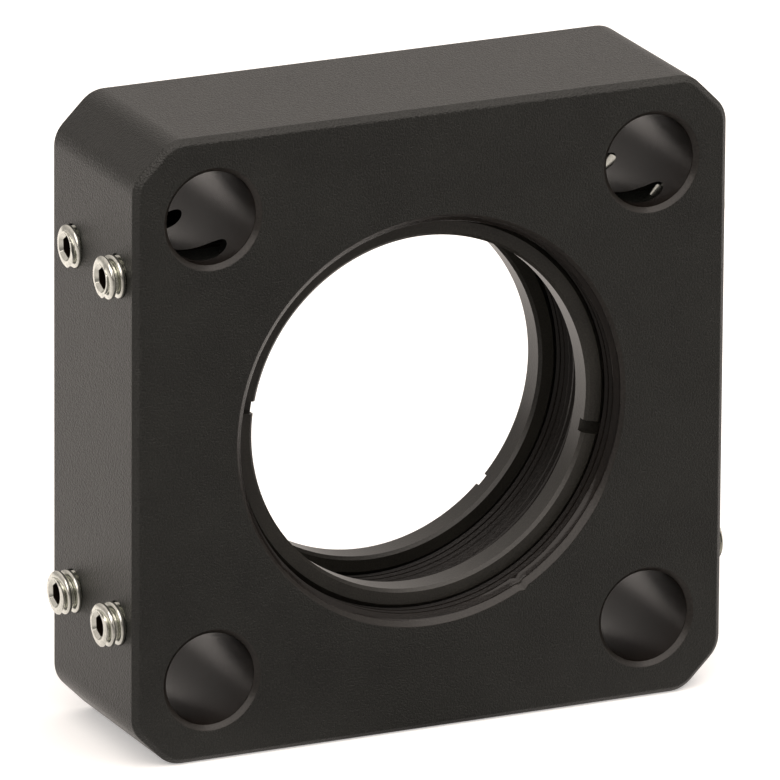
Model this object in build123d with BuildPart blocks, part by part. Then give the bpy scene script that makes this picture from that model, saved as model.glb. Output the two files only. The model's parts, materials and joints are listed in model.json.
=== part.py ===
from build123d import *
import math
import os

# Optical cage plate: a thick square plate with four rod bores at its corners and a
# threaded bore in its middle, two threaded retaining rings in that bore, and eight
# set screws that clamp the rods from the left and right faces.
#
# Frame, in millimetres: the origin is the middle of the plate on the bore's axis,
# +X is right, +Z is up, and the front face looks towards -Y.

os.makedirs("parts", exist_ok=True)

# Plate body
plate_width = 40.64
plate_height = 40.64
plate_thickness = 12.70
corner_chamfer = 2.54
corner_round = 2.00
edge_break = 0.38

# Threaded bore, drawn as a smooth wall at the thread's major diameter
bore_diameter = 26.29
bore_chamfer = 0.21

# Rod bores, one in each corner, with this wall between them and the plate's four sides
rod_bore_diameter = 6.00
rod_bore_wall = 2.32
rod_bore_chamfer = 0.32

# Tapped holes of the set screws, two beside each rod bore. The two rows are a little
# nearer to the front face than to the rear face.
screw_hole_diameter = 2.845
screw_row_spacing = 6.80
screw_row_middle = -0.40
screw_break_in = 0.72
screw_run_past = 2.20

# Tapped hole for a post, in the middle of the bottom face, and the metal left
# between its drill point and the threaded bore
post_hole_diameter = 4.166
post_hole_floor = 0.80

# Both kinds of tapped hole end in a drill point of this included angle
drill_point_angle = 118.0

# Set screws: cup point at the inner end, countersunk hexagon socket at the outer end
screw_clearance = 0.04
screw_tip_setback = 1.22
screw_seated_protrusion = 0.58
screw_point_diameter = 1.40
screw_cup_depth = 0.22
screw_rim_diameter = 2.34
screw_rim_bevel = 0.20
socket_across_flats = 1.27
socket_countersink_depth = 0.18
socket_depth = 1.50

# Retaining rings: threaded outside, with two spanner slots across one face
ring_clearance = 0.045
ring_wall = 1.58
ring_thickness = 1.90
ring_rim_chamfer = 0.60
ring_bore_chamfer = 0.20
ring_slot_width = 0.85
ring_slot_depth = 0.62
front_ring_recess = 1.68
rear_ring_recess = 2.17
front_ring_slot_angle = 10.5
rear_ring_slot_angle = 44.1

# The front ring's slots were milled a little below its middle
front_ring_slot_offset = -0.30
rear_ring_slot_offset = 0.00

# How far each set screw is backed off from its seated place
screw_back_off = {
    "top_left_front": 0.60,
    "top_left_rear": 0.00,
    "bottom_left_front": 0.77,
    "bottom_left_rear": 0.72,
    "top_right_front": 0.00,
    "top_right_rear": 0.00,
    "bottom_right_front": 0.16,
    "bottom_right_rear": 0.60,
}

# Sizes worked out from those above
half_width = plate_width / 2
half_height = plate_height / 2
half_thickness = plate_thickness / 2
bore_radius = bore_diameter / 2
rod_bore_radius = rod_bore_diameter / 2
rod_x = half_width - rod_bore_wall - rod_bore_radius
rod_z = half_height - rod_bore_wall - rod_bore_radius
drill_point_slope = math.tan(math.radians(drill_point_angle / 2))
screw_hole_radius = screw_hole_diameter / 2
screw_drill_point = screw_hole_radius / drill_point_slope
screw_z = rod_z - (rod_bore_radius + screw_hole_radius - screw_break_in)
screw_hole_depth = half_width - rod_x + screw_run_past
screw_radius = screw_hole_radius - screw_clearance
screw_length = half_width + screw_seated_protrusion - rod_x - screw_tip_setback
post_hole_radius = post_hole_diameter / 2
post_drill_point = post_hole_radius / drill_point_slope
post_thread_depth = half_height - bore_radius - post_hole_floor - post_drill_point
ring_radius = bore_radius - ring_clearance
ring_bore_radius = ring_radius - ring_wall


def side_sign(name, word):
    """+1 where a name holds the word, -1 where it doesn't."""
    return 1 if word in name else -1


def screw_place(name):
    """Side (+1 right, -1 left), depth and height of a set screw's axis."""
    side = side_sign(name, "right")
    depth = screw_row_middle + side_sign(name, "rear") * screw_row_spacing / 2
    height = side_sign(name, "top") * screw_z
    return side, depth, height


def chamfer_mouths(part, radius, size):
    """Chamfer the round edges of one radius on the front and rear faces."""
    rims = part.edges().filter_by(GeomType.CIRCLE)
    chamfer(rims.filter_by(lambda rim: math.isclose(rim.radius, radius)), size)


# Plate: one solid, its outline in the XZ plane and its thickness along Y
with BuildPart() as plate:
    with BuildSketch(Plane.XZ) as outline:
        Rectangle(plate_width, plate_height)
        chamfer(outline.vertices(), corner_chamfer)
        fillet(outline.vertices(), corner_round)
    extrude(amount=half_thickness, both=True)
    front_and_rear = plate.faces().filter_by(Axis.Y)
    chamfer(front_and_rear.edges(), edge_break)
    with BuildSketch(Plane.XZ):
        Circle(bore_radius)
    extrude(amount=half_thickness, both=True, mode=Mode.SUBTRACT)
    chamfer_mouths(plate, bore_radius, bore_chamfer)
    with BuildSketch(Plane.XZ):
        with GridLocations(2 * rod_x, 2 * rod_z, 2, 2):
            Circle(rod_bore_radius)
    extrude(amount=half_thickness, both=True, mode=Mode.SUBTRACT)
    chamfer_mouths(plate, rod_bore_radius, rod_bore_chamfer)
    for side in (-1, 1):
        face = Plane(origin=(side * half_width, screw_row_middle, 0), x_dir=(0, 1, 0), z_dir=(side, 0, 0))
        with BuildSketch(face):
            with GridLocations(screw_row_spacing, 2 * screw_z, 2, 2):
                Circle(screw_hole_radius)
        extrude(amount=-screw_hole_depth, mode=Mode.SUBTRACT)
        with Locations(face.offset(-screw_hole_depth - screw_drill_point / 2)):
            with GridLocations(screw_row_spacing, 2 * screw_z, 2, 2):
                Cone(0, screw_hole_radius, screw_drill_point, mode=Mode.SUBTRACT)
    bottom = Plane(origin=(0, 0, -half_height), x_dir=(1, 0, 0), z_dir=(0, 0, -1))
    with BuildSketch(bottom):
        Circle(post_hole_radius)
    extrude(amount=-post_thread_depth, mode=Mode.SUBTRACT)
    with Locations(bottom.offset(-post_thread_depth - post_drill_point / 2)):
        Cone(0, post_hole_radius, post_drill_point, mode=Mode.SUBTRACT)

plate.part.label = "plate"
export_step(plate.part, "parts/plate.step")


def build_ring(face_depth, outward, slot_angle, slot_offset):
    """A retaining ring about the Y axis, its slotted face at face_depth along Y.

    outward is -1 where the slotted face looks to the front and +1 to the rear, and
    slot_angle turns the slots clockwise from the X axis, seen from the front, and
    slot_offset moves them sideways from the ring's middle.
    """
    plain_face = face_depth - outward * ring_thickness
    slot_middle = face_depth - outward * ring_slot_depth / 2
    with BuildPart() as ring:
        with BuildSketch(Plane.XY):
            with BuildLine():
                Polyline(
                    (ring_bore_radius, face_depth - outward * ring_bore_chamfer),
                    (ring_bore_radius + ring_bore_chamfer, face_depth),
                    (ring_radius - ring_rim_chamfer, face_depth),
                    (ring_radius, face_depth - outward * ring_rim_chamfer),
                    (ring_radius, plain_face + outward * ring_rim_chamfer),
                    (ring_radius - ring_rim_chamfer, plain_face),
                    (ring_bore_radius + ring_bore_chamfer, plain_face),
                    (ring_bore_radius, plain_face + outward * ring_bore_chamfer),
                    close=True,
                )
            make_face()
        revolve(axis=Axis.Y)
        with Locations(Location((0, slot_middle, 0), (0, slot_angle, 0)) * Pos(0, 0, slot_offset)):
            Box(bore_diameter, ring_slot_depth, ring_slot_width, mode=Mode.SUBTRACT)
    return ring


# Front ring: slots towards the front, where a spanner reaches them
front_ring = build_ring(
    front_ring_recess - half_thickness, -1, front_ring_slot_angle, front_ring_slot_offset
)
front_ring.part.label = "front_retaining_ring"
export_step(front_ring.part, "parts/front_retaining_ring.step")

# Rear ring: the same ring turned round
rear_ring = build_ring(
    half_thickness - rear_ring_recess, 1, rear_ring_slot_angle, rear_ring_slot_offset
)
rear_ring.part.label = "rear_retaining_ring"
export_step(rear_ring.part, "parts/rear_retaining_ring.step")


def build_set_screw(name, back_off):
    """A set screw whose profile is revolved about its own axis, along X."""
    side, depth, height = screw_place(name)
    end = (side * (half_width + screw_seated_protrusion + back_off), depth, height)
    along = Plane(origin=end, x_dir=(side, 0, 0), z_dir=(0, 0, 1))
    across = Plane(origin=end, x_dir=(0, 1, 0), z_dir=(side, 0, 0))
    point_radius = screw_point_diameter / 2
    point_cone = screw_radius - point_radius
    with BuildPart() as screw:
        with BuildSketch(along):
            with BuildLine():
                Polyline(
                    (-screw_length + screw_cup_depth, 0),
                    (-screw_length, point_radius),
                    (-screw_length + point_cone, screw_radius),
                    (-screw_rim_bevel, screw_radius),
                    (0, screw_rim_diameter / 2),
                    (-socket_countersink_depth, socket_across_flats / 2),
                    (-socket_countersink_depth, 0),
                    close=True,
                )
            make_face()
        revolve(axis=Axis(end, (side, 0, 0)))
        with BuildSketch(across):
            RegularPolygon(radius=socket_across_flats / 2, side_count=6, major_radius=False)
        extrude(amount=-socket_depth, mode=Mode.SUBTRACT)
    return screw


# Set screws: each one is a piece of its own, because each is turned by itself
for name, back_off in screw_back_off.items():
    set_screw = build_set_screw(name, back_off)
    set_screw.part.label = "set_screw_" + name
    export_step(set_screw.part, "parts/set_screw_" + name + ".step")
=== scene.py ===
# %% [markdown]
# # An optical cage plate
# The object is a thick square plate of black anodised aluminium. Four rods pass through
# its corner bores, eight small set screws clamp them from the left and right faces, and
# two threaded retaining rings hold a round optic in the big threaded bore.
#
# The construction model is the fixed frame: it gives every size and place. It draws its
# threads as smooth walls, so this lesson cuts the real threads, dresses each surface, and
# sets up a studio with the camera where the photograph was taken from.

# %% Load the frame
import json
import math

import bmesh
import bpy
import numpy as np
from mathutils import Matrix, Vector


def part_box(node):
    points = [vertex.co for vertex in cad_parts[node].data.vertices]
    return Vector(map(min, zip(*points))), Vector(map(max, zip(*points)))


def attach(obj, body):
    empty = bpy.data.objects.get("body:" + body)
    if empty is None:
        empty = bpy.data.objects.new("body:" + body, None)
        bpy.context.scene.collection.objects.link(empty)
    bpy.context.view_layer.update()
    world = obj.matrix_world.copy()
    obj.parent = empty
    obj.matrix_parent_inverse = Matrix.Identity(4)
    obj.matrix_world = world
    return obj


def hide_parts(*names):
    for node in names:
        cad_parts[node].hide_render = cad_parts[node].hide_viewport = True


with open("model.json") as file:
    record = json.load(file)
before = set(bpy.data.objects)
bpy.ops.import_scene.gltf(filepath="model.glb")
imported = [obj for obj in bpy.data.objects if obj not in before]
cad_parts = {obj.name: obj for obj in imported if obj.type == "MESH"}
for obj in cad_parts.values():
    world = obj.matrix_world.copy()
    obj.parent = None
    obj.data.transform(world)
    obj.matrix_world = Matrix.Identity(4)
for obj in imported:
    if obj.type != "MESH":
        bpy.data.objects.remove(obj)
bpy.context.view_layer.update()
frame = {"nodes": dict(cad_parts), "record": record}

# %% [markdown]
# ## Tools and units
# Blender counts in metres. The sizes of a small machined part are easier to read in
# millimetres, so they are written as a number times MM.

MM = 0.001


print("nodes in the frame:", ", ".join(sorted(frame["nodes"])))

# %% [markdown]
# ## The camera
# The photograph is a product shot through a long lens, so its edges converge only a
# little. The place of the camera was solved from the plate's outline and its four rod
# bores. It is written here as a photographer would say it: where it aims, how far round
# and how high it stands, how far away, and how much it leans.

# %% Camera
CAMERA_AIM = Vector((0.00006, 0.00002, 0.00012))
CAMERA_DISTANCE = 0.91372
CAMERA_AZIMUTH = math.radians(25.0714)
CAMERA_ELEVATION = math.radians(17.9274)
CAMERA_ROLL = math.radians(0.3854)
FOCAL_LENGTH = 672.93
SENSOR_WIDTH = 36.0
NEAREST_SEEN = 0.05
FARTHEST_SEEN = 20.0


def add_camera():
    """The camera stands behind its aim along the line of sight, and leans by the roll.

    Line of sight = (cos elevation * sin azimuth, cos elevation * cos azimuth, -sin elevation).
    """
    sight = Vector((
        math.cos(CAMERA_ELEVATION) * math.sin(CAMERA_AZIMUTH),
        math.cos(CAMERA_ELEVATION) * math.cos(CAMERA_AZIMUTH),
        -math.sin(CAMERA_ELEVATION),
    ))
    data = bpy.data.cameras.new("camera")
    data.lens = FOCAL_LENGTH
    data.sensor_width = SENSOR_WIDTH
    data.clip_start = NEAREST_SEEN
    data.clip_end = FARTHEST_SEEN
    camera = bpy.data.objects.new("camera", data)
    place = Matrix.Translation(CAMERA_AIM - CAMERA_DISTANCE * sight)
    turn = sight.to_track_quat("-Z", "Y").to_matrix().to_4x4()
    camera.matrix_world = place @ turn @ Matrix.Rotation(CAMERA_ROLL, 4, "Z")
    bpy.context.scene.collection.objects.link(camera)
    bpy.context.scene.camera = camera
    return camera


camera = add_camera()
print("camera at", [round(c, 4) for c in camera.location], "m")

# %% [markdown]
# ## Surfaces from grids
# Everything turned on a lathe or cut as a thread can be written as a function of two
# parameters: how far round, and how far along a profile. Numpy works out the whole grid
# of points at once. Rows and columns may fall on each other, such as where a thread runs
# out at a face or where the grid closes on itself, and merging the points that lie
# together then closes every seam without a special case.

# %% Grid helpers
WELD_DISTANCE = 2e-7
SHARP_ANGLE = math.radians(28)


def full_turn(columns):
    """The angles of a grid's columns once round, the first and the last at the same place."""
    return np.linspace(0, 2 * np.pi, columns + 1)


def grid_faces(rows, columns):
    """Quads of a grid: each joins a point to its neighbours one row on and one column on."""
    corner = np.arange(rows * columns).reshape(rows, columns)
    quads = np.stack([corner[:-1, :-1], corner[:-1, 1:], corner[1:, 1:], corner[1:, :-1]], axis=-1)
    return quads.reshape(-1, 4)


def make_piece(name, points, faces, body):
    """A closed mesh: points that lie together are merged, and its faces turned outwards."""
    mesh = bpy.data.meshes.new(name)
    mesh.from_pydata(points.tolist(), [], faces)
    shape = bmesh.new()
    shape.from_mesh(mesh)
    bmesh.ops.remove_doubles(shape, verts=shape.verts, dist=WELD_DISTANCE)
    bmesh.ops.recalc_face_normals(shape, faces=shape.faces)
    open_edges = sum(1 for edge in shape.edges if not edge.is_manifold)
    shape.to_mesh(mesh)
    shape.free()
    mesh.set_sharp_from_angle(angle=SHARP_ANGLE)
    piece = bpy.data.objects.new(name, mesh)
    bpy.context.scene.collection.objects.link(piece)
    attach(piece, body)
    print(name, "has", len(mesh.polygons), "faces and", open_edges, "open edges")
    return piece


def face_centres(piece):
    """The middle of every face, as an array of points."""
    faces = piece.data.polygons
    centres = np.empty(3 * len(faces))
    faces.foreach_get("center", centres)
    return centres.reshape(-1, 3)


def set_finish(piece, finish):
    """Give each face of a piece one of its materials, by number."""
    piece.data.polygons.foreach_set("material_index", finish.astype(np.int32))


print("points closer than", round(WELD_DISTANCE / MM, 4), "mm are merged")

# %% [markdown]
# ## The thread profile
# A unified thread has flanks 60 degrees apart. A hole's crest is a quarter of the pitch wide
# and its root an eighth, and on a screw or a ring it is the other way round. The profile is
# written as corners over one pitch, and every row of a threaded grid follows one of these
# corners round its helix. Rows that follow the helix keep each crest sharp with few faces.
# Rows at fixed heights would cut across the crests and leave them ragged. Past the ends of a
# thread all rows are held at the end, where they fall on each other and merge.

# %% Thread profile
WIDE_HALF = 1 / 8
NARROW_HALF = 1 / 16
CORNER_HEIGHT = np.array([1.0, 0.0, 0.0, 1.0, 1.0])
FLANK_STEPS = 4


def profile_corners(crest_half, root_half):
    """Where the profile's corners stand, in pitches from the middle of a crest."""
    return np.array([crest_half, 0.5 - root_half, 0.5 + root_half, 1 - crest_half, 1 + crest_half])


IN_A_HOLE = profile_corners(WIDE_HALF, NARROW_HALF)
ON_A_SCREW = profile_corners(NARROW_HALF, WIDE_HALF)


def thread_height(corners, turns):
    """How high the profile stands at a place counted in pitches: 1 on the crest, 0 in the root."""
    return np.interp((turns - corners[0]) % 1 + corners[0], corners, CORNER_HEIGHT)


def helix(corners, low, high, pitch, angle, phase=0.0, hand=1):
    """Where each point of a threaded grid stands along the axis, and how high its profile is.

    Place = (row's place in pitches - hand * (angle + phase) / full turn) * pitch, held between
    low and high. Each stretch between two corners of the profile has the same number of rows,
    and there is a turn to spare past both ends. With the axis Y and the angle from X towards
    Z, hand 1 is right-handed.
    """
    stretches = len(corners) - 1
    step = np.arange(stretches * FLANK_STEPS) / FLANK_STEPS
    places = np.interp(step, np.arange(len(corners)), corners)
    turn = hand * (angle + phase) / (2 * np.pi)
    first = math.floor((low / pitch) + turn.min()) - 1
    last = math.ceil((high / pitch) + turn.max()) + 1
    rows = (np.arange(first, last)[:, None] + places).ravel()
    place = np.clip((rows[:, None] - turn) * pitch, low, high)
    return place, thread_height(corners, place / pitch + turn)


print("a thread's profile is", FLANK_STEPS * (len(CORNER_HEIGHT) - 1), "rows to a turn")

# %% [markdown]
# ## Measures of the plate
# Places and bore sizes come from the frame: the plate's box, and the mounts that the
# construction model's record lists. The sizes that the frame doesn't list are written here:
# chamfers as they are in the construction model, the depth of the bore's thread, and how
# far each kind of crease is rounded.

# %% Measures of the plate
plate_low, plate_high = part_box("plate")
HALF_THICKNESS = plate_high.y
mounts = {mount["name"]: mount for mount in frame["record"]["mounts"]}
rod_mounts = [mount for name, mount in mounts.items() if name.startswith("rod_bore")]
ROD_CHAMFER = 0.32 * MM
ROD_MOUTH = rod_mounts[0]["dims"]["r_mm"] * MM + ROD_CHAMFER
BORE_MAJOR = mounts["lens_thread_front"]["dims"]["r_mm"] * MM
BORE_THREAD_DEPTH = 0.345 * MM
MOUTH_CHAMFER = 0.21 * MM
MOUTH_MARGIN = 0.50 * MM
BORE_MINOR = BORE_MAJOR - BORE_THREAD_DEPTH
BORE_MOUTH = BORE_MAJOR + MOUTH_CHAMFER
MOUTH_BAND = BORE_MOUTH + MOUTH_MARGIN
EDGE_BREAK = 0.38 * MM
SIDE_CREASE = 0.05 * MM
FACE_CREASE = 0.08 * MM
MOUTH_CREASE = 0.04 * MM
CREASE_SEGMENTS = 4
CREASE_ANGLE = math.radians(28)
FLAT_ANGLE = math.radians(0.5)
ON_PLANE = 0.001 * MM
SEAM = 0.02 * MM
print("radius of the big bore's thread:", round(BORE_MINOR / MM, 3), "to", BORE_MAJOR / MM, "mm")

# %% [markdown]
# ## The plate: a copy with softened edges
# The frame's plate is right in every size, but its edges are ideal. On the real one the
# small chamfers round the outside were cut by a mill and then blasted with fine beads, so
# that the crease at a side face is nearly sharp and the crease at a front or rear face is
# soft. The chamfers of the bores were cut after the blasting and stay crisp. A copy of the
# node is merged, its flat faces are cleared of inner edges, and its creases are rounded
# with the mesh bevel. A shader could fake the rounding, but real faces catch the light in
# every view.

# %% Softened copy
def from_axis(co, axis=(0.0, 0.0, 0.0)):
    """How far a point stands from a line along Y, the big bore's own if none is given."""
    return math.hypot(co.x - axis[0], co.z - axis[2])


def at_rod_mouth(co):
    """Whether a point lies on the mouth of a rod bore, or inside it."""
    return any(from_axis(co, mount["pos_m"]) < ROD_MOUTH + SEAM for mount in rod_mounts)


def bevel_creases(shape, depth, width, of_rods):
    """Round the sharp edges at one depth below both faces, either of the rod bores or of the outline."""
    height = HALF_THICKNESS - depth

    def chosen(edge):
        first, second = (vert.co for vert in edge.verts)
        same_side = first.y * second.y > 0
        return same_side and all(
            abs(abs(co.y) - height) < ON_PLANE
            and at_rod_mouth(co) == of_rods
            and from_axis(co) > MOUTH_BAND + SEAM
            for co in (first, second)
        )

    creases = [edge for edge in shape.edges
               if edge.is_manifold and chosen(edge) and edge.calc_face_angle() > CREASE_ANGLE]
    bmesh.ops.bevel(
        shape, geom=creases, offset=width, offset_type="OFFSET", segments=CREASE_SEGMENTS,
        profile=0.5, affect="EDGES", clamp_overlap=False,
    )
    return len(creases)


def widen_mouth(shape):
    """Move the big bore's round edge outwards on both faces, which leaves a flat band to fill."""
    for vert in shape.verts:
        reach = from_axis(vert.co)
        if abs(reach - BORE_MOUTH) < SEAM and abs(abs(vert.co.y) - HALF_THICKNESS) < ON_PLANE:
            vert.co.x *= MOUTH_BAND / reach
            vert.co.z *= MOUTH_BAND / reach


def softened_plate():
    """The plate's copy as an edit mesh: doubles merged, flat faces cleared, creases rounded."""
    shape = bmesh.new()
    shape.from_mesh(frame["nodes"]["plate"].data)
    bmesh.ops.remove_doubles(shape, verts=shape.verts, dist=WELD_DISTANCE)
    bmesh.ops.dissolve_limit(shape, angle_limit=FLAT_ANGLE, verts=shape.verts, edges=shape.edges)
    widen_mouth(shape)
    count = bevel_creases(shape, EDGE_BREAK, SIDE_CREASE, of_rods=False)
    count += bevel_creases(shape, 0.0, FACE_CREASE, of_rods=False)
    count += bevel_creases(shape, 0.0, MOUTH_CREASE, of_rods=True)
    count += bevel_creases(shape, ROD_CHAMFER, MOUTH_CREASE, of_rods=True)
    bmesh.ops.triangulate(shape, faces=[face for face in shape.faces if len(face.verts) > 4])
    print("rounded", count, "edges")
    return shape


print("creases rounded by", SIDE_CREASE / MM, "mm at sides and", FACE_CREASE / MM, "mm at faces")

# %% [markdown]
# ## The plate: real threads in its holes
# The frame draws the big bore and the post's hole as smooth walls at the thread's full
# depth. Both are opened in the copy, and a threaded grid is sewn to the round edge that
# this leaves. The thread runs out through the chamfer at the mouth, as it does when a hole
# is chamfered first and threaded after. The front mouth was cut a little deeper along its
# lower side, with a nick where the tool stopped, so its radius depends on the angle.

# %% Thread measures
FINE_PITCH = 0.635 * MM
BORE_ANGLES = full_turn(240)
RUN_OUT_ANGLE = np.radians([215, 250, 297, 298.5, 300, 328, 340.5])
RUN_OUT_REACH = np.array([0.0, 0.10, 0.15, 0.32, 0.15, 0.15, 0.0]) * MM
FLAT_LIP = 0.03 * MM
POST_MAJOR = mounts["post_thread"]["dims"]["r_mm"] * MM
POST_THREAD_DEPTH = 0.37 * MM
POST_MINOR = POST_MAJOR - POST_THREAD_DEPTH
POST_LENGTH = mounts["post_thread"]["dims"]["length_mm"] * MM
POST_PITCH = 0.794 * MM
POST_THREADED = 4.4 * MM
POST_ANGLES = full_turn(72)
DRILL_HALF_ANGLE = math.radians(59)
print("thread of the bore:", round(2 * HALF_THICKNESS / FINE_PITCH, 1), "turns")


def crease_rows(mouth, width, steps):
    """The rows over the crease between a face and a 45 degree chamfer: their radii and depths.

    The first row lies flat on the face, just outside. The others follow an arc of an eighth of
    a circle that touches face and chamfer, so its radius R = width times the tangent of 67.5
    degrees. Radius = mouth + width - R sin(a), depth = R (1 - cos(a)).
    """
    size = width * math.tan(math.radians(67.5))
    a = np.linspace(0, np.pi / 4, steps + 1)[:, None]
    radius = mouth + width - size * np.sin(a)
    depth = size * (1 - np.cos(a)) * np.ones_like(mouth)
    flat = radius[:1] + FLAT_LIP
    return np.concatenate([flat, radius]), np.concatenate([0 * flat, depth])


def bore_wall():
    """The threaded wall of the big bore, about Y.

    Radius = major less the profile's height times the thread's depth, and never less than the
    45 degree chamfer's cone from either face. Rounded rows lead into the cone at both ends.
    """
    plain = BORE_MOUTH * np.ones_like(BORE_ANGLES)
    deeper = plain + np.interp(BORE_ANGLES, RUN_OUT_ANGLE, RUN_OUT_REACH)
    front_radius, front_depth = crease_rows(deeper, MOUTH_CREASE, CREASE_SEGMENTS)
    rear_radius, rear_depth = crease_rows(plain, MOUTH_CREASE, CREASE_SEGMENTS)
    end = HALF_THICKNESS - front_depth[-1, 0]
    along, height = helix(IN_A_HOLE, -end, end, FINE_PITCH, BORE_ANGLES)
    cone = np.where(along < 0, deeper, plain) - (HALF_THICKNESS - np.abs(along))
    radius = np.maximum(BORE_MAJOR - height * (BORE_MAJOR - BORE_MINOR), cone)
    radius = np.concatenate([front_radius, radius, rear_radius[::-1]])
    along = np.concatenate([front_depth - HALF_THICKNESS, along, HALF_THICKNESS - rear_depth[::-1]])
    return np.stack([radius * np.cos(BORE_ANGLES), along, radius * np.sin(BORE_ANGLES)], axis=-1)


def post_wall():
    """The post's threaded hole, about Z from the bottom face.

    Radius = major less the profile's height times the thread's depth, never less than the 45
    degree cone at the mouth, and never more than the cone that the thread ends in. A plain
    stretch and the drill's point follow.
    """
    along, height = helix(IN_A_HOLE, SEAM, POST_THREADED, POST_PITCH, POST_ANGLES, hand=-1)
    radius = np.maximum(POST_MAJOR - height * (POST_MAJOR - POST_MINOR), POST_MAJOR - along)
    radius = np.minimum(radius, POST_MINOR + POST_THREADED - along)
    ones = np.ones((1, len(POST_ANGLES)))
    radius = np.concatenate([radius, POST_MINOR * ones, 0 * ones])
    point = POST_LENGTH + POST_MINOR / math.tan(DRILL_HALF_ANGLE)
    along = np.concatenate([along, POST_LENGTH * ones, point * ones])
    x, y = radius * np.cos(POST_ANGLES), radius * np.sin(POST_ANGLES)
    return np.stack([x, y, plate_low.z + along], axis=-1)


def zip_loops(angle_a, index_a, angle_b, index_b):
    """Triangles between two round edges whose points stand at different angles.

    All points of both are taken in the order of their angles. Each closes a triangle with the
    point before it on its own edge and the latest point on the other edge.
    """
    order = np.argsort(np.concatenate([angle_a, angle_b]), kind="stable")
    on_a = order < len(angle_a)
    index_a = index_a[np.argsort(angle_a, kind="stable")]
    index_b = index_b[np.argsort(angle_b, kind="stable")]
    latest_a = np.cumsum(on_a) - 1
    latest_b = np.cumsum(~on_a) - 1
    own = np.where(on_a, index_a[latest_a], index_b[latest_b])
    before = np.where(on_a, index_a[latest_a - 1], index_b[latest_b - 1])
    other = np.where(on_a, index_b[latest_b], index_a[latest_a])
    return np.stack([before, own, other], axis=-1).tolist()


print("turns of thread in the post's hole:", round(POST_THREADED / POST_PITCH, 1))

# %% [markdown]
# ## The plate: seams between flat faces and threads
# The walls of the two holes are deleted from the copy, and what is left of the copy has an
# open round edge at each mouth. The threaded wall has more points round its edge than the
# copy has, and at other angles. The two edges are zipped together with triangles, so that
# the plate is one closed skin. Each face then gets the number of its finish, because the
# plate was blasted outside, bored for the rods, threaded, and chamfered last.

# %% Sew the threads in
def in_bore(co):
    """Whether a point of the copy belongs to the big bore's wall."""
    return from_axis(co) < MOUTH_BAND - SEAM


def in_post_hole(co):
    """Whether a point of the copy belongs to the post's hole. The round edge at its mouth stays."""
    below_bore = co.z < -BORE_MOUTH
    from_post = math.hypot(co.x, co.y)
    on_wall = from_post < POST_MAJOR + SEAM and co.z > plate_low.z + SEAM
    return below_bore and (from_post < POST_MAJOR - SEAM or on_wall)


def around(points, across):
    """Angle of each point from X, about the bore's axis (across is 2, Z) or the post's (1, Y)."""
    return np.arctan2(points[:, across], points[:, 0]) % (2 * np.pi)


def build_plate():
    """The softened copy without its two threaded holes, their threaded walls, and the seams."""
    shape = softened_plate()
    inside = [vert for vert in shape.verts if in_bore(vert.co) or in_post_hole(vert.co)]
    bmesh.ops.delete(shape, geom=inside, context="VERTS")
    shape.verts.index_update()
    points = np.array([vert.co for vert in shape.verts])
    # Blender lists the new faces in another order each run, so they are sorted by their corners
    faces = sorted(([vert.index for vert in face.verts] for face in shape.faces), key=sorted)
    rim = np.unique([vert.index for edge in shape.edges if edge.is_boundary for vert in edge.verts])
    shape.free()
    at_bottom = points[rim, 2] < plate_low.z + SEAM
    in_front = points[rim, 1] < 0
    bore_loops = ((rim[~at_bottom & in_front], 0), (rim[~at_bottom & ~in_front], -1))
    post_loops = ((rim[at_bottom], 0),)
    for wall, across, loops in ((bore_wall(), 2, bore_loops), (post_wall(), 1, post_loops)):
        index = len(points) + np.arange(wall.shape[0] * wall.shape[1]).reshape(wall.shape[:2])
        faces += (len(points) + grid_faces(*wall.shape[:2])).tolist()
        for loop, row in loops:
            mouth = around(points[loop], across)
            edge = around(wall[row, :-1], across)
            faces += zip_loops(mouth, loop, edge, index[row, :-1])
        points = np.concatenate([points, wall.reshape(-1, 3)])
    piece = make_piece("cage_plate", points, faces, "plate")
    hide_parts("plate")
    smoothing = piece.modifiers.new("flat faces stay flat", "WEIGHTED_NORMAL")
    smoothing.keep_sharp = True
    return piece


BLASTED, BORED, THREADED, CHAMFERED = range(4)


def plate_finishes(centre):
    """The number of each face's finish, from the face's middle.

    Inside the big bore's thread a face is threaded, inside a rod bore it is bored, and between
    these and the front or rear face it is chamfered. All others are blasted.
    """
    depth = HALF_THICKNESS - np.abs(centre[:, 1])
    from_bore = np.hypot(centre[:, 0], centre[:, 2])
    finish = np.full(len(centre), BLASTED)
    finish[(depth > ON_PLANE) & (from_bore < MOUTH_BAND)] = CHAMFERED
    finish[from_bore < BORE_MAJOR] = THREADED
    for mount in rod_mounts:
        x, _, z = mount["pos_m"]
        in_mouth = np.hypot(centre[:, 0] - x, centre[:, 2] - z) < ROD_MOUTH
        finish[in_mouth & (depth > ON_PLANE)] = CHAMFERED
        finish[in_mouth & (depth > ROD_CHAMFER + ON_PLANE)] = BORED
    return finish


plate = build_plate()
plate_finish = plate_finishes(face_centres(plate))
set_finish(plate, plate_finish)
print("faces blasted, bored, threaded and chamfered:", np.bincount(plate_finish).tolist())

# %% [markdown]
# ## The retaining rings
# Each ring is turned from bar, threaded outside, and slotted across one face for a
# spanner. Its section is carried round the axis as a grid. The slots are part of the same
# grid: inside a slot's width every point above the slot's floor is pushed down to it. Two
# columns stand at each side of a slot, one pushed down and one not, and the wall between
# them closes by itself.

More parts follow.
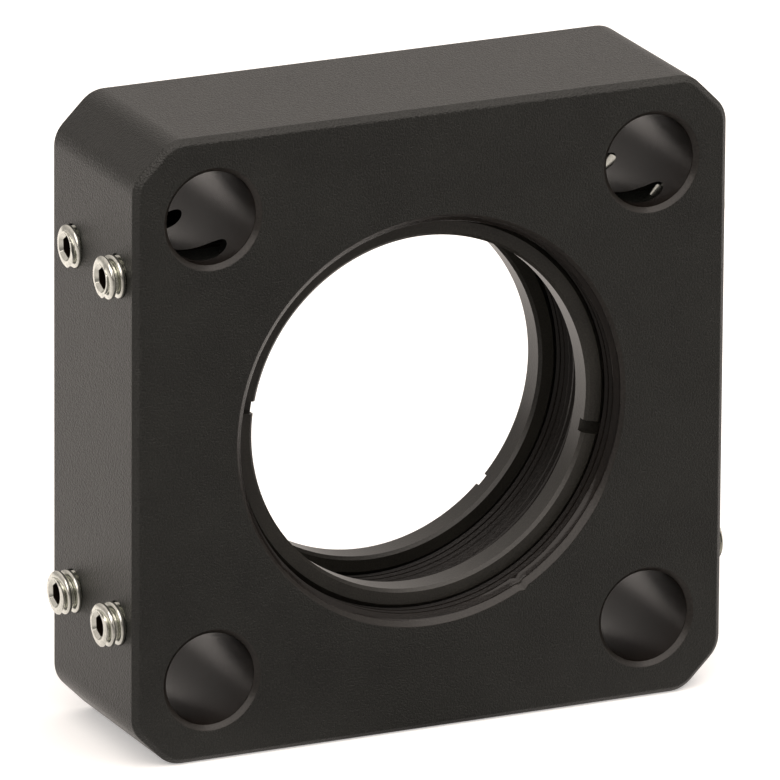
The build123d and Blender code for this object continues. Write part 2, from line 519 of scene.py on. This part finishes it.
# %% Retaining rings
RING_CLEARANCE = 0.045 * MM
RING_MAJOR = BORE_MAJOR - RING_CLEARANCE
RING_THREAD_DEPTH = 0.38 * MM
RING_MINOR = RING_MAJOR - RING_THREAD_DEPTH
RING_WALL = 1.58 * MM
RING_BORE = RING_MAJOR - RING_WALL
RIM_CHAMFER = 0.60 * MM
INNER_CHAMFER = 0.20 * MM
SLOT_HALF_WIDTH = 0.425 * MM
SLOT_DEPTH = 0.62 * MM
RING_COLUMNS = 120
SLOT_COLUMNS = 5


def ring_columns(slot_angle, slot_offset):
    """Angles of a ring's columns, and which of them lie in a slot.

    One line of slots crosses the ring at both sides. A column at a distance d from the ring's
    middle line stands at the arc sine of d / the ring's middle radius on the right, and at
    half a turn less that on the left. Each side of a slot is two columns at the same angle.
    """
    middle = (RING_MAJOR + RING_BORE) / 2
    reach = np.linspace(-SLOT_HALF_WIDTH, SLOT_HALF_WIDTH, SLOT_COLUMNS)
    right = np.arcsin((slot_offset + reach) / middle)
    left = np.pi - np.arcsin((slot_offset - reach) / middle)
    over = np.linspace(right[-1], left[0], RING_COLUMNS)
    under = np.linspace(left[-1], right[0] + 2 * np.pi, RING_COLUMNS)
    angle = np.concatenate([right, over, left, under, right[:1] + 2 * np.pi])
    counts = [SLOT_COLUMNS, RING_COLUMNS, SLOT_COLUMNS, RING_COLUMNS, 1]
    in_slot = np.repeat([True, False, True, False, True], counts)
    return angle + slot_angle, in_slot


def build_ring(name, node, body, outward, slot_angle, slot_offset):
    """A ring about Y. Its section runs through its bore to the slotted face and back along the thread.

    The outer radius = the thread's, but no more than the 45 degree rim chamfers allow. Depth is
    counted from the slotted face, and y = face - outward * depth. In a slot no depth is less
    than the slot's.
    """
    low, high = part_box(node)
    face = low.y if outward < 0 else high.y
    thickness = high.y - low.y
    angle, in_slot = ring_columns(slot_angle, slot_offset)
    floor = np.where(in_slot, SLOT_DEPTH, 0.0)
    depth, _ = helix(ON_A_SCREW, 0, thickness, FINE_PITCH, angle, hand=-outward)
    depth = np.maximum(depth, floor)
    height = thread_height(ON_A_SCREW, depth / FINE_PITCH - outward * angle / (2 * np.pi))
    chamfered = RING_MAJOR - RIM_CHAMFER + np.minimum(depth, thickness - depth)
    radius = np.minimum(RING_MINOR + height * (RING_MAJOR - RING_MINOR), chamfered)
    inner = np.array([
        (RING_BORE + INNER_CHAMFER, thickness), (RING_BORE, thickness - INNER_CHAMFER),
        (RING_BORE, SLOT_DEPTH), (RING_BORE, INNER_CHAMFER), (RING_BORE + INNER_CHAMFER, 0),
    ])
    ones = np.ones((1, len(angle)))
    radius = np.concatenate([inner[:, :1] * ones, radius, inner[:1, :1] * ones])
    depth = np.concatenate([inner[:, 1:] * ones, depth, inner[:1, 1:] * ones])
    depth = np.maximum(depth, floor)
    y = face - outward * depth
    points = np.stack([radius * np.cos(angle), y, radius * np.sin(angle)], axis=-1).reshape(-1, 3)
    piece = make_piece(name, points, grid_faces(*radius.shape).tolist(), body)
    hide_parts(node)
    return piece


FRONT_SLOT = (math.radians(-10.5), -0.30 * MM)
REAR_SLOT = (math.radians(-44.1), 0.0)
front_ring = build_ring("ring_in_front", "front_retaining_ring", "front_ring", -1, *FRONT_SLOT)
rear_ring = build_ring("ring_behind", "rear_retaining_ring", "rear_ring", 1, *REAR_SLOT)

# %% [markdown]
# ## The set screws
# A set screw is a threaded pin without a head. Its inner end is a cup point, and its outer
# end is dished and holds a hexagon socket. All of it fits one grid: the profile runs from
# the bottom of the socket, up its six flats and over the dish, where its radius changes
# from hexagonal to round, and then along the thread and down the cone to the middle of the
# cup. The screws aren't turned alike, so each has its own turn of the thread and of the
# socket, in degrees.

# %% Set screws
SCREW_MAJOR = 1.40 * MM
SCREW_MINOR = 1.02 * MM
POINT_RADIUS = 0.70 * MM
CUP_DEPTH = 0.22 * MM
RIM_BEVEL = 0.26 * MM
LAND_RADIUS = 0.98 * MM
COUNTERSINK_RADIUS = 0.90 * MM
COUNTERSINK_DEPTH = 0.20 * MM
SOCKET_HALF_FLATS = 0.635 * MM
SOCKET_DEPTH = 1.50 * MM
SOCKET_POINT = 0.35 * MM
SCREW_ANGLES = full_turn(96)
SCREW_TURNS = {
    "top_left_front": (25, 36),
    "top_left_rear": (76, 36),
    "bottom_left_front": (125, 36),
    "bottom_left_rear": (120, 36),
    "top_right_front": (0, 10),
    "top_right_rear": (60, 25),
    "bottom_right_front": (140, 40),
    "bottom_right_rear": (230, 5),
}


def build_screw(name, thread_turn, socket_turn):
    """A set screw about a line along X.

    Inwards is the distance from the outer end. The thread was rolled, so its crests are broad
    and round: the profile's height h becomes the square root of 1 - (1 - h) (1 - h). The
    thread's radius is held under the cone of the point and the quarter round of the rim. The
    hexagon's radius = half its flats divided by the cosine of the angle from the middle of the
    nearest flat.
    """
    node = "set_screw_" + name
    low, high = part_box(node)
    outward = 1 if "right" in name else -1
    end = high.x if outward > 0 else low.x
    length = high.x - low.x
    middle = (low + high) / 2
    angle = SCREW_ANGLES
    phase = math.radians(thread_turn)
    inwards, height = helix(ON_A_SCREW, 0, length, FINE_PITCH, angle, phase, hand=outward)
    thread = SCREW_MINOR + np.sqrt(1 - (1 - height) ** 2) * (SCREW_MAJOR - SCREW_MINOR)
    from_face = np.minimum(inwards / RIM_BEVEL, 1.0)
    rim_round = LAND_RADIUS + (SCREW_MAJOR - LAND_RADIUS) * np.sqrt(1 - (1 - from_face) ** 2)
    thread = np.minimum(np.minimum(thread, rim_round), POINT_RADIUS + length - inwards)
    from_flat = (angle + math.radians(socket_turn)) % (np.pi / 3) - np.pi / 6
    hexagon = SOCKET_HALF_FLATS / np.cos(from_flat)
    ones = np.ones_like(angle)
    head = [(0 * ones, (SOCKET_DEPTH + SOCKET_POINT) * ones), (hexagon, SOCKET_DEPTH * ones)]
    head += [(hexagon, COUNTERSINK_DEPTH * ones), (COUNTERSINK_RADIUS * ones, 0 * ones)]
    cup = [(0 * ones, (length - CUP_DEPTH) * ones)]
    radius = np.concatenate([[r for r, _ in head], thread, [r for r, _ in cup]])
    inwards = np.concatenate([[d for _, d in head], inwards, [d for _, d in cup]])
    x = end - outward * inwards
    y, z = middle.y + radius * np.cos(angle), middle.z + radius * np.sin(angle)
    points = np.stack([x, y, z], axis=-1).reshape(-1, 3)
    body = "screw_" + name
    piece = make_piece(body, points, grid_faces(*radius.shape).tolist(), body)
    centre = face_centres(piece)
    depth = outward * (end - centre[:, 0])
    # Faces deep in the socket take the second material, a darker steel that paints the hole's shade
    near_axis = np.hypot(centre[:, 1] - middle.y, centre[:, 2] - middle.z) < SCREW_MINOR - SEAM
    in_socket = near_axis & (depth > COUNTERSINK_DEPTH) & (depth < length / 2)
    set_finish(piece, in_socket)
    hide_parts(node)
    return piece


screws = [build_screw(name, *turns) for name, turns in SCREW_TURNS.items()]

# %% [markdown]
# ## Finishes: helpers for node trees
# Nearly all of the object is aluminium under a layer of black anodise, and what lies below
# the layer decides how it shines. The plate shows it in four ways: blasted outside, bored
# for the rods, threaded, and chamfered last. The rings are turned. The set screws are bright
# stainless steel, and their sockets get a darker, duller steel whose dark colour is painted
# shade of the deep holes. The object is new, so no edge shows wear. Each material is a
# Principled BSDF whose colour and relief come from nodes, and a few helpers keep its node tree short to
# write.

# %% Node helpers
DISPLAY_LEVELS = 255


def linear(value):
    """A display colour from 0 to 255 in the renderer's linear values, by the curve of sRGB."""
    share = np.array(value) / DISPLAY_LEVELS
    result = np.where(share <= 0.04045, share / 12.92, ((share + 0.055) / 1.055) ** 2.4)
    return (*result.tolist(), 1.0)


def new_material(name):
    """A node material with a Principled BSDF."""
    material = bpy.data.materials.new(name)
    material.use_nodes = True
    tree = material.node_tree
    shader = next(node for node in tree.nodes if node.type == "BSDF_PRINCIPLED")
    return material, tree, shader


def input_socket(node, key):
    """An input by its number, as i0, or by its name, with _ for each space."""
    if key[1:].isdigit():
        return node.inputs[int(key[1:])]
    return node.inputs[key.replace("_", " ")]


def add_node(tree, kind, settings=(), **inputs):
    """A node with its settings and its inputs. Each input is a plain value, or a socket to link."""
    node = tree.nodes.new(kind)
    for key, value in dict(settings).items():
        setattr(node, key, value)
    for key, value in inputs.items():
        socket = input_socket(node, key)
        if isinstance(value, bpy.types.NodeSocket):
            tree.links.new(value, socket)
        else:
            socket.default_value = value
    return node


def math_node(tree, operation, first, second):
    """The result of one sum on two numbers."""
    node = add_node(tree, "ShaderNodeMath", {"operation": operation}, i0=first, i1=second)
    return node.outputs[0]


def vector_node(tree, operation, output, **inputs):
    """The result of one sum on vectors: the output is Vector or Value."""
    return add_node(tree, "ShaderNodeVectorMath", {"operation": operation}, **inputs).outputs[output]


def mapped(tree, value, from_range, to_range, smooth=False):
    """A number moved from one range to another, evenly or by a smooth step."""
    kind = "SMOOTHSTEP" if smooth else "LINEAR"
    node = add_node(
        tree, "ShaderNodeMapRange", {"interpolation_type": kind}, Value=value,
        From_Min=from_range[0], From_Max=from_range[1], To_Min=to_range[0], To_Max=to_range[1],
    )
    return node.outputs["Result"]


def mixed(tree, factor, low, high):
    """A colour between two, by a factor that changes over the surface."""
    node = add_node(tree, "ShaderNodeMix", {"data_type": "RGBA"}, Factor=factor, i6=low, i7=high)
    return node.outputs["Result"]


def new_group(name, inputs, outputs):
    """A shader node group with named number inputs and named outputs."""
    group = bpy.data.node_groups.new(name, "ShaderNodeTree")
    for label, default in inputs.items():
        socket = group.interface.new_socket(label, in_out="INPUT", socket_type="NodeSocketFloat")
        socket.default_value = default
    for label in outputs:
        group.interface.new_socket(label, in_out="OUTPUT", socket_type="NodeSocketFloat")
    return group, group.nodes.new("NodeGroupInput"), group.nodes.new("NodeGroupOutput")


print("display grey 128 is", round(linear([128] * 3)[0], 3), "in linear light")

# %% [markdown]
# ## Finishes: blasted grain
# Fine beads leave a grain of about a tenth of a millimetre, and the dye takes a little
# unevenly over a few millimetres. Both are noise at different sizes. More than one finish
# uses them, so they are one node group. The middle of the noise's range is stretched over
# the whole range, because plain noise hardly leaves the middle.

# %% Blasted grain
GRAIN_SIZE = 0.12 * MM
STEEL_GRAIN_SIZE = 0.20 * MM
CLOUD_SIZE = 4.0 * MM
GRAIN_DETAIL = 2.0
CLOUD_DETAIL = 4.0
NOISE_RANGE = (0.30, 0.70)


def stretched_noise(group, place, size, detail):
    """Noise of a size over a place, with the middle of its range stretched from 0 to 1."""
    scale = math_node(group, "DIVIDE", 1.0, size)
    noise = add_node(group, "ShaderNodeTexNoise", Vector=place, Scale=scale, Detail=detail)
    return mapped(group, noise.outputs["Fac"], NOISE_RANGE, (0.0, 1.0))


def grain_group():
    """Grain: a height for Bump, a speckle of the same size, and a slow cloud of tone."""
    sizes = {"Grain size": GRAIN_SIZE, "Cloud size": CLOUD_SIZE}
    group, given, result = new_group("blasted grain", sizes, ("Height", "Speckle", "Cloud"))
    place = add_node(group, "ShaderNodeTexCoord").outputs["Object"]
    grain = stretched_noise(group, place, given.outputs["Grain size"], GRAIN_DETAIL)
    cloud = stretched_noise(group, place, given.outputs["Cloud size"], CLOUD_DETAIL)
    group.links.new(grain, result.inputs["Height"])
    group.links.new(grain, result.inputs["Speckle"])
    group.links.new(cloud, result.inputs["Cloud"])
    return group


GRAIN = grain_group()
print("the group", GRAIN.name, "has", len(GRAIN.nodes), "nodes")

# %% [markdown]
# ## Finishes: turning lines
# A tool that runs round an axis leaves fine lines round that axis. In a bore their height
# changes with the depth alone, wherever the bore's axis is. On a ring's face it changes with
# the distance from the main axis, so that distance is added there.

# %% Turning lines
LINE_WIDTH = 0.05 * MM
LINE_DETAIL = 1.0


def turning_group():
    """Lines of a tool that ran round a line along Y.

    Height = noise over (share of the reach * distance from the main axis, depth).
    """
    shares = {"Line width": LINE_WIDTH, "Reach share": 1.0}
    group, given, result = new_group("turning lines", shares, ("Height",))
    place = add_node(group, "ShaderNodeTexCoord").outputs["Object"]
    apart = add_node(group, "ShaderNodeSeparateXYZ", Vector=place).outputs
    across = add_node(group, "ShaderNodeCombineXYZ", X=apart["X"], Y=apart["Z"]).outputs[0]
    reach = vector_node(group, "LENGTH", "Value", i0=across)
    shared = math_node(group, "MULTIPLY", reach, given.outputs["Reach share"])
    line = add_node(group, "ShaderNodeCombineXYZ", X=shared, Y=apart["Y"]).outputs[0]
    scale = math_node(group, "DIVIDE", 1.0, given.outputs["Line width"])
    noise = add_node(group, "ShaderNodeTexNoise", Vector=line, Scale=scale, Detail=LINE_DETAIL)
    group.links.new(noise.outputs["Fac"], result.inputs["Height"])
    return group


TURNING = turning_group()
print("the group", TURNING.name, "has", len(TURNING.nodes), "nodes")

# %% [markdown]
# ## Finishes: black anodise
# Anodise is a dark dyed layer with a clear skin. The speckle and the cloud move its tone a
# little, and the grain and the lines bump its skin. Bored walls have the smoothest skin,
# and the dye looks browner there.

# %% Black anodise
ANODISE_IOR = 1.45
SPECKLE_SHARE = 0.7
DARKEST_TONE = 0.55
PALEST_TONE = 1.4
GRAIN_HEIGHT = 0.03 * MM
LINE_HEIGHT = 0.01 * MM


def anodised(name, colour, roughness, shine, grain_bump, line_bump=0.0, line_reach=0.0):
    """Black anodise over blasted or turned metal.

    Tone = speckle's share * speckle + the rest * cloud, from the darkest to the palest colour.
    """
    material, tree, shader = new_material(name)
    grain = add_node(tree, "ShaderNodeGroup", {"node_tree": GRAIN}, Grain_size=GRAIN_SIZE).outputs
    speckle = math_node(tree, "MULTIPLY", grain["Speckle"], SPECKLE_SHARE)
    cloud = math_node(tree, "MULTIPLY", grain["Cloud"], 1 - SPECKLE_SHARE)
    tone = math_node(tree, "ADD", speckle, cloud)
    darkest = linear([c * DARKEST_TONE for c in colour])
    palest = linear([c * PALEST_TONE for c in colour])
    tree.links.new(mixed(tree, tone, darkest, palest), shader.inputs["Base Color"])
    relief = add_node(
        tree, "ShaderNodeBump", Strength=grain_bump, Distance=GRAIN_HEIGHT, Height=grain["Height"]
    ).outputs["Normal"]
    if line_bump:
        lines = add_node(tree, "ShaderNodeGroup", {"node_tree": TURNING}, Reach_share=line_reach)
        relief = add_node(
            tree, "ShaderNodeBump", Strength=line_bump, Distance=LINE_HEIGHT,
            Height=lines.outputs["Height"], Normal=relief,
        ).outputs["Normal"]
    tree.links.new(relief, shader.inputs["Normal"])
    shader.inputs["Roughness"].default_value = roughness
    shader.inputs["IOR"].default_value = ANODISE_IOR
    shader.inputs["Specular IOR Level"].default_value = shine
    return material


body_anodise = anodised("blasted black anodise", (24, 25, 23), 0.36, 0.5, 1.2)
bore_anodise = anodised("bored black anodise", (18, 13, 10), 0.25, 0.42, 0.3, 1.0)
thread_anodise = anodised("threaded black anodise", (20, 17, 15), 0.27, 0.36, 0.15, 0.15)
chamfer_anodise = anodised("chamfered black anodise", (31, 29, 27), 0.30, 0.40, 0.2, 0.2)
ring_anodise = anodised("turned black anodise", (32, 31, 28), 0.32, 0.5, 0.15, 0.15, 1.0)
print("made", body_anodise.name, "and four finishes of machined anodise")

# %% [markdown]
# ## Finishes: stainless steel
# The screws are bare metal, so the shader is metallic and its colour is the colour of what
# it mirrors. The sockets get a darker, duller steel: its dark colour is painted shade of the deep
# hexagon holes.

# %% Stainless steel
STEEL_DARKEST = 0.93
STEEL_BUMP = 0.1


def steel(name, colour, roughness):
    """Turned steel with a trace of grain."""
    material, tree, shader = new_material(name)
    grain = add_node(tree, "ShaderNodeGroup", {"node_tree": GRAIN}, Grain_size=STEEL_GRAIN_SIZE).outputs
    tone = mixed(tree, grain["Speckle"], linear([c * STEEL_DARKEST for c in colour]), linear(colour))
    tree.links.new(tone, shader.inputs["Base Color"])
    relief = add_node(
        tree, "ShaderNodeBump", Strength=STEEL_BUMP, Distance=LINE_HEIGHT, Height=grain["Height"]
    ).outputs["Normal"]
    tree.links.new(relief, shader.inputs["Normal"])
    shader.inputs["Metallic"].default_value = 1.0
    shader.inputs["Roughness"].default_value = roughness
    return material


bright_steel = steel("stainless steel", (228, 229, 221), 0.20)
# The socket's darker, duller steel is painted shade of the deep hexagon hole
socket_shade_steel = steel("socket with painted shade", (70, 58, 48), 0.45)
print("made", bright_steel.name, "and", socket_shade_steel.name)

# %% [markdown]
# ## Finishes: dress the pieces
# The order of a piece's materials is the order of the numbers that its faces were given.

# %% Dress the pieces
dress = [(plate, (body_anodise, bore_anodise, thread_anodise, chamfer_anodise))]
dress += [(ring, (ring_anodise,)) for ring in (front_ring, rear_ring)]
dress += [(screw, (bright_steel, socket_shade_steel)) for screw in screws]
for piece, materials in dress:
    for material in materials:
        piece.data.materials.append(material)
print("dressed", len(dress), "pieces")

# %% [markdown]
# ## The studio: a white tent
# The photograph has a pure white surround. The plate's left and top faces are lighter than
# its front only because they are seen at a glancing angle and mirror the white behind it.
# The tent is brightest above and to the right, less bright behind, and dimmest to the left.
# It is written as four wide lobes, each with a direction and a strength. The camera itself
# sees plain white.

# %% White tent
WARM = (1.0, 0.915, 0.850)
PLAIN_WHITE = (1.0, 1.0, 1.0, 1.0)
LOBE_COSINES = (-0.2, 1.0)
ROOM_LOBES = (
    ((-0.1, 0.95, 0.3), 0.30),
    ((0.0, 0.0, 1.0), 0.45),
    ((-1.0, 0.0, 0.2), 0.17),
    ((1.0, 0.0, 0.2), 0.64),
)


def add_world():
    """The tent. Its radiance is the sum over the lobes of strength times smooth step of cosine.

    The cosine is that of the angle between the direction and the lobe's own direction.
    """
    world = bpy.data.worlds.new("white tent")
    world.use_nodes = True
    tree = world.node_tree
    tree.nodes.clear()
    direction = add_node(tree, "ShaderNodeTexCoord").outputs["Generated"]
    level = 0.0
    for toward, strength in ROOM_LOBES:
        axis = Vector(toward).normalized()
        cosine = vector_node(tree, "DOT_PRODUCT", "Value", i0=direction, i1=axis)
        lobe = mapped(tree, cosine, LOBE_COSINES, (0.0, strength), smooth=True)
        level = math_node(tree, "ADD", level, lobe)
    room = add_node(tree, "ShaderNodeBackground", Color=(*WARM, 1.0), Strength=level)
    plain = add_node(tree, "ShaderNodeBackground", Color=PLAIN_WHITE, Strength=1.0)
    seen = add_node(
        tree, "ShaderNodeMixShader",
        i0=add_node(tree, "ShaderNodeLightPath").outputs["Is Camera Ray"],
        i1=room.outputs[0], i2=plain.outputs[0],
    )
    add_node(tree, "ShaderNodeOutputWorld", Surface=seen.outputs[0])
    bpy.context.scene.world = world
    return world


world = add_world()
print(world.name, "with", len(ROOM_LOBES), "lobes")

# %% [markdown]
# ## The studio: white paper
# The object stands on a wide sheet of white paper. The camera sees the paper white and keeps
# the soft shadow on it. In reflections the paper has its own level: bright behind the
# object, darker in front of it, and falling off with the distance.

# %% White paper
PAPER_HALF = 3.0
PAPER_LEVEL = 0.80
PAPER_SLOPE = (0.0, 0.52, 0.0)
PAPER_FAR = 0.45
PAPER_FALL = (0.1, 0.6)
PAPER_LIFT = 0.30


def paper_material():
    """White paper that keeps the shadow, with its own level in reflections.

    Mirrored radiance = (level + slope * the front-back part of the bearing from the object)
    times a share. The share falls from 1 to the far share by a smooth step of the distance.
    """
    material, tree, shader = new_material("white paper")
    output = next(node for node in tree.nodes if node.type == "OUTPUT_MATERIAL")
    shader.inputs["Base Color"].default_value = PLAIN_WHITE
    shader.inputs["Roughness"].default_value = 1.0
    shader.inputs["Specular IOR Level"].default_value = 0.0
    place = add_node(tree, "ShaderNodeTexCoord").outputs["Object"]
    flat = vector_node(tree, "MULTIPLY", "Vector", i0=place, i1=(1.0, 1.0, 0.0))
    bearing = vector_node(tree, "NORMALIZE", "Vector", i0=flat)
    slope = vector_node(tree, "DOT_PRODUCT", "Value", i0=bearing, i1=PAPER_SLOPE)
    distance = vector_node(tree, "LENGTH", "Value", i0=flat)
    share = mapped(tree, distance, PAPER_FALL, (1.0, PAPER_FAR), smooth=True)
    near_level = math_node(tree, "ADD", slope, PAPER_LEVEL)
    level = math_node(tree, "MULTIPLY", near_level, share)
    mirrored = add_node(tree, "ShaderNodeEmission", Color=(*WARM, 1.0), Strength=level)
    lift = add_node(tree, "ShaderNodeEmission", Color=PLAIN_WHITE, Strength=PAPER_LIFT)
    lifted = add_node(tree, "ShaderNodeAddShader", i0=shader.outputs[0], i1=lift.outputs[0])
    path = add_node(tree, "ShaderNodeLightPath").outputs
    for_camera = add_node(
        tree, "ShaderNodeMixShader", i0=path["Is Camera Ray"],
        i1=shader.outputs[0], i2=lifted.outputs[0],
    )
    for_gloss = add_node(
        tree, "ShaderNodeMixShader", i0=path["Is Glossy Ray"],
        i1=for_camera.outputs[0], i2=mirrored.outputs[0],
    )
    tree.links.new(for_gloss.outputs[0], output.inputs["Surface"])
    return material


def add_floor():
    """A flat square of paper, a hair below the plate so that the two never share a plane."""
    mesh = bpy.data.meshes.new("floor")
    corners = np.array([(-1, -1), (1, -1), (1, 1), (-1, 1)]) * PAPER_HALF
    mesh.from_pydata([(x, y, plate_low.z - SEAM) for x, y in corners], [], [(0, 1, 2, 3)])
    mesh.materials.append(paper_material())
    floor = bpy.data.objects.new("floor", mesh)
    bpy.context.scene.collection.objects.link(floor)
    return floor


floor = add_floor()
print(floor.name, "is", 2 * PAPER_HALF, "m wide")

# %% [markdown]
# ## The studio: the key lamp
# One long soft box hangs above the object, in front of it and a little to the left. It
# brightens the chamfers that face upwards and to the front. Its radiance and the levels of
# the tent and the paper were solved together, from the tones in the photograph.

# %% Key lamp
KEY_DIRECTION = (-0.24, -0.52, 0.82)
KEY_ALONG = (0.92, 0.16, 0.35)
KEY_DISTANCE = 0.7
KEY_SIZE = (1.5, 0.6)
KEY_RADIANCE = 2.09


def add_key_lamp():
    """A soft box that looks at the object. Power = radiance * pi * area."""
    data = bpy.data.lights.new("key", "AREA")
    data.shape = "RECTANGLE"
    data.size, data.size_y = KEY_SIZE
    data.energy = KEY_RADIANCE * math.pi * KEY_SIZE[0] * KEY_SIZE[1]
    data.color = WARM
    lamp = bpy.data.objects.new("key", data)
    toward = Vector(KEY_DIRECTION).normalized()
    up = toward.cross(Vector(KEY_ALONG)).normalized()
    turn = Matrix((up.cross(toward), up, toward)).transposed()
    lamp.matrix_world = Matrix.Translation(toward * KEY_DISTANCE) @ turn.to_4x4()
    bpy.context.scene.collection.objects.link(lamp)
    return lamp


key = add_key_lamp()
bpy.context.scene.view_settings.view_transform = "Standard"
print("key lamp of", round(key.data.energy, 2), "W at", [round(c, 2) for c in key.location], "m")
